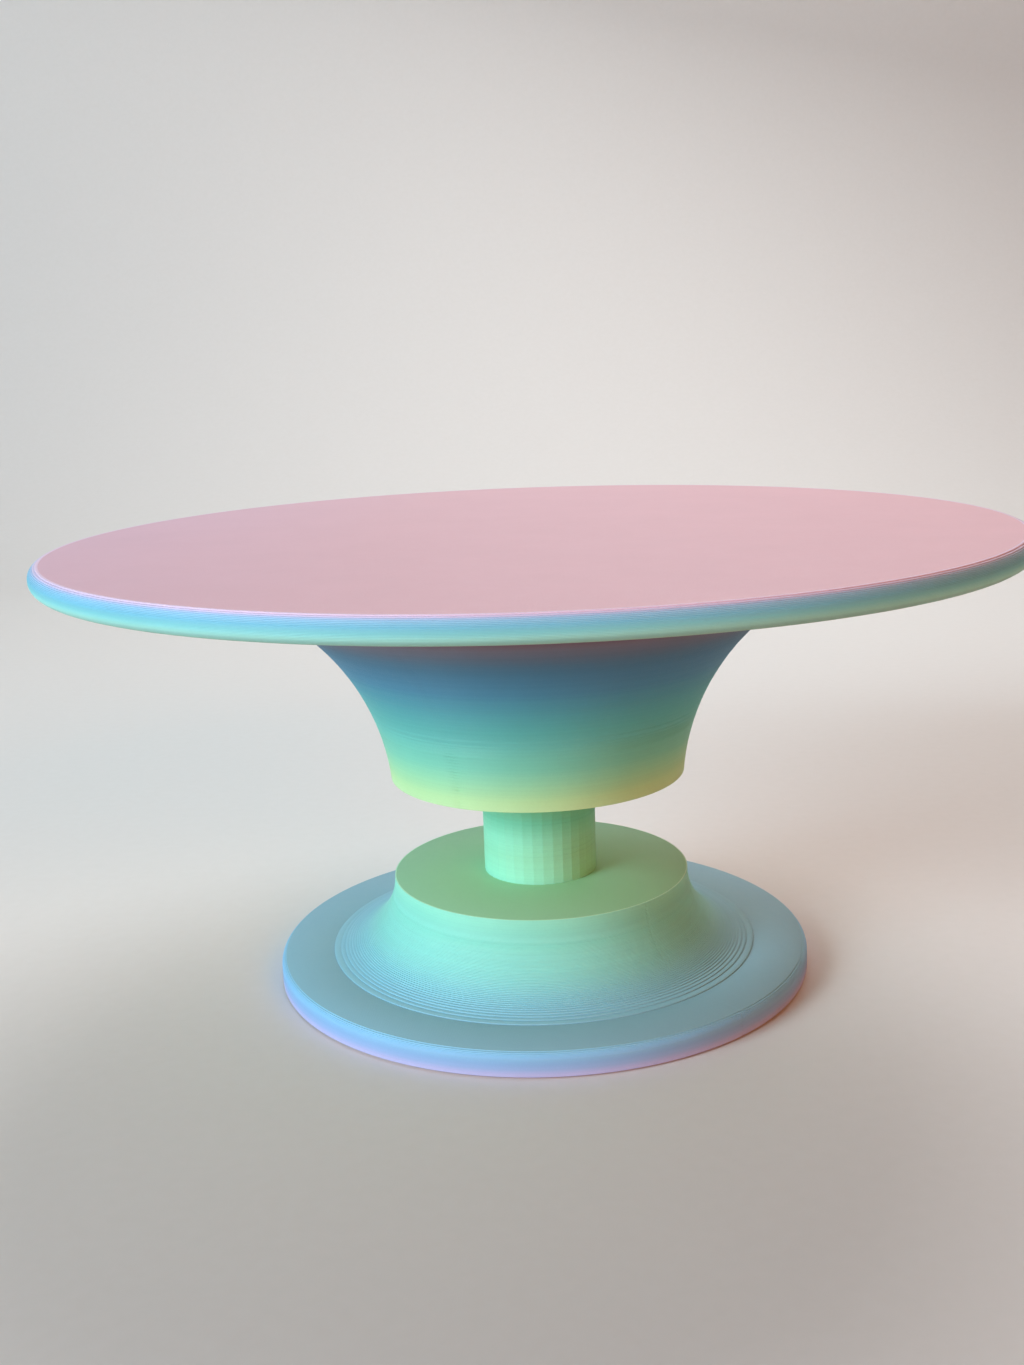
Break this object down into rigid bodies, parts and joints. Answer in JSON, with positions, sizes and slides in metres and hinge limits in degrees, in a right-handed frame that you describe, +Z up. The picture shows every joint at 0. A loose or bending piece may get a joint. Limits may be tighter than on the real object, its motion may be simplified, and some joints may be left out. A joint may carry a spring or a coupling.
{
  "type": "cake turntable",
  "caption": "Round cake turntable: flat disc on a trumpet-shaped hub that spins freely on a slim post rising from a flared round foot.",
  "frame": {"origin": "on the turning axis, in the plane that the foot pads rest on", "axes": "+Z up along the turning axis; the object is round about it, so +X and +Y only pass through a foot pad and between two"},
  "size_m": [0.254, 0.254, 0.12],
  "materials": {
    "printed_base": "matte layered print, colour changing with height from lilac and blue to green",
    "printed_platter": "matte layered print, pink face, colour changing downwards through blue and green to yellow",
    "printed_small": "matte layered print",
    "zinc_steel": "bright zinc plate",
    "bearing_steel": "ground bearing steel",
    "polished_balls": "polished",
    "shield_steel": "pressed sheet",
    "cage_nylon": "natural nylon",
    "spacer_aluminium": "turned",
    "nylon_insert": "natural nylon",
    "foot_rubber": "soft, matt"
  },
  "bodies": {
    "base": {"base": "printed_base", "bottom_cover": "printed_small", "foot_pads": "foot_rubber", "upper_bearing_outer_ring": "bearing_steel", "upper_bearing_bottom_shield": "shield_steel", "upper_bearing_top_shield": "shield_steel", "lower_bearing_outer_ring": "bearing_steel", "lower_bearing_bottom_shield": "shield_steel", "lower_bearing_top_shield": "shield_steel"},
    "platter": {"platter": "printed_platter", "spindle_clamp_plate": "printed_small", "clamp_screws": "zinc_steel", "spindle_bolt": "zinc_steel", "upper_spacer_ring": "spacer_aluminium", "bearing_spacer_tube": "spacer_aluminium", "lower_spacer_ring": "spacer_aluminium", "spindle_washer": "zinc_steel", "lock_nut": "zinc_steel", "lock_nut_insert": "nylon_insert", "upper_bearing_inner_ring": "bearing_steel", "lower_bearing_inner_ring": "bearing_steel"},
    "upper_balls": {"upper_bearing_balls": "polished_balls", "upper_bearing_cage": "cage_nylon"},
    "lower_balls": {"lower_bearing_balls": "polished_balls", "lower_bearing_cage": "cage_nylon"}
  },
  "joints": [
    {"name": "platter_spin", "type": "hinge", "parent": "base", "child": "platter", "pos_m": [0, 0, 0.081], "axis": [0, 0, 1], "continuous": true},
    {"name": "upper_balls_orbit", "type": "hinge", "parent": "base", "child": "upper_balls", "pos_m": [0, 0, 0.081], "axis": [0, 0, 1], "continuous": true},
    {"name": "lower_balls_orbit", "type": "hinge", "parent": "base", "child": "lower_balls", "pos_m": [0, 0, 0.0276], "axis": [0, 0, 1], "continuous": true}
  ],
  "couplings": [
    {"joint": "upper_balls_orbit", "follows": "platter_spin", "ratio": 0.3677},
    {"joint": "lower_balls_orbit", "follows": "platter_spin", "ratio": 0.3677}
  ]
}
